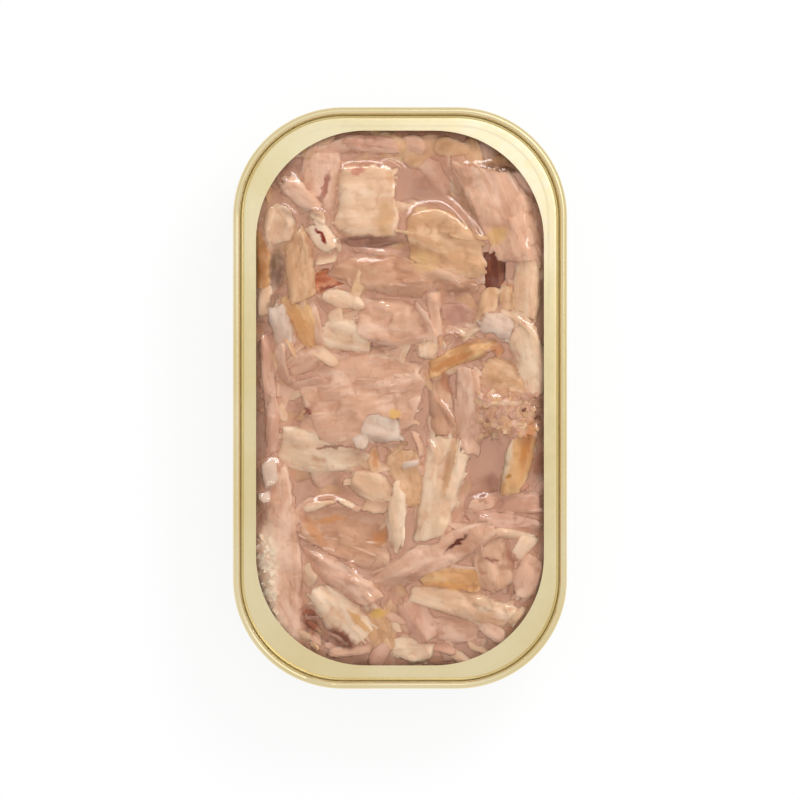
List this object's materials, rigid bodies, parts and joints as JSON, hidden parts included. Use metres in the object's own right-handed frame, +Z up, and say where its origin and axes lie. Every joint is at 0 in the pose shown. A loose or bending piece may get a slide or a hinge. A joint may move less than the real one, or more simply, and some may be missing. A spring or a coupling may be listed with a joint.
{
  "type": "open oblong food can of flaked meat in jelly",
  "caption": "Oblong shallow metal can with a gold lacquer, its lid torn out along the score, full of flaked meat pieces set in jelly.",
  "frame": {"origin": "middle of the can's foot, on the surface it stands on", "axes": "+Z up out of the open mouth, +Y along the can's length, +X across it"},
  "size_m": [0.0602, 0.1048, 0.0245],
  "materials": {
    "gold_lacquer": "thin gold lacquer over bright sheet metal, satin gloss",
    "jelly": "wet, translucent",
    "meat_cream": "moist cooked meat",
    "meat_pink": "moist cooked meat",
    "meat_tan": "moist cooked meat",
    "meat_dark": "moist dark meat"
  },
  "bodies": {
    "root": {"amber_lump": "meat_tan", "amber_plank": "meat_tan", "bar_flake": "meat_pink", "can_body": "gold_lacquer", "cap_lump": "meat_cream", "centre_slab": "meat_pink", "cleft_flake": "meat_pink", "corner_wedge": "meat_cream", "cream_block": "meat_cream", "cream_lump": "meat_cream", "cream_shelf": "meat_cream", "cream_spindle": "meat_cream", "cream_tab": "meat_cream", "creased_chunk": "meat_pink", "crumb_heap": "meat_tan", "dark_lump": "meat_dark", "diag_bundle": "meat_tan", "far_pebble": "meat_tan", "foot_lump": "meat_cream", "gold_flake": "meat_cream", "jelly": "jelly", "leaf_flake": "meat_cream", "left_ribbon": "meat_pink", "left_slab": "meat_pink", "left_strand": "meat_pink", "lid_ring": "gold_lacquer", "lilac_lump": "meat_cream", "long_plank": "meat_cream", "lower_plank": "meat_cream", "mauve_flake": "meat_pink", "near_pebble": "meat_tan", "orange_strap": "meat_tan", "oval_flake": "meat_pink", "pale_band": "meat_cream", "pale_foot": "meat_cream", "pale_lump": "meat_cream", "pink_bundle": "meat_pink", "pink_shred": "meat_pink", "pink_strap": "meat_pink", "red_wedge": "meat_dark", "ridged_end": "meat_pink", "right_chip": "meat_cream", "rim_flake": "meat_pink", "rosy_chip": "meat_pink", "salmon_flake": "meat_tan", "salmon_strip": "meat_tan", "shard_fan": "meat_cream", "shell_flake": "meat_cream", "side_band": "meat_pink", "side_flake": "meat_cream", "small_slab": "meat_cream", "splinter": "meat_cream", "tan_cheek": "meat_tan", "tan_flake": "meat_tan", "tan_lump": "meat_tan", "tan_plank": "meat_tan", "vein_flap": "meat_pink", "wall_strip": "meat_tan", "white_flake": "meat_cream", "yellow_strap": "meat_tan"}
  },
  "joints": []
}
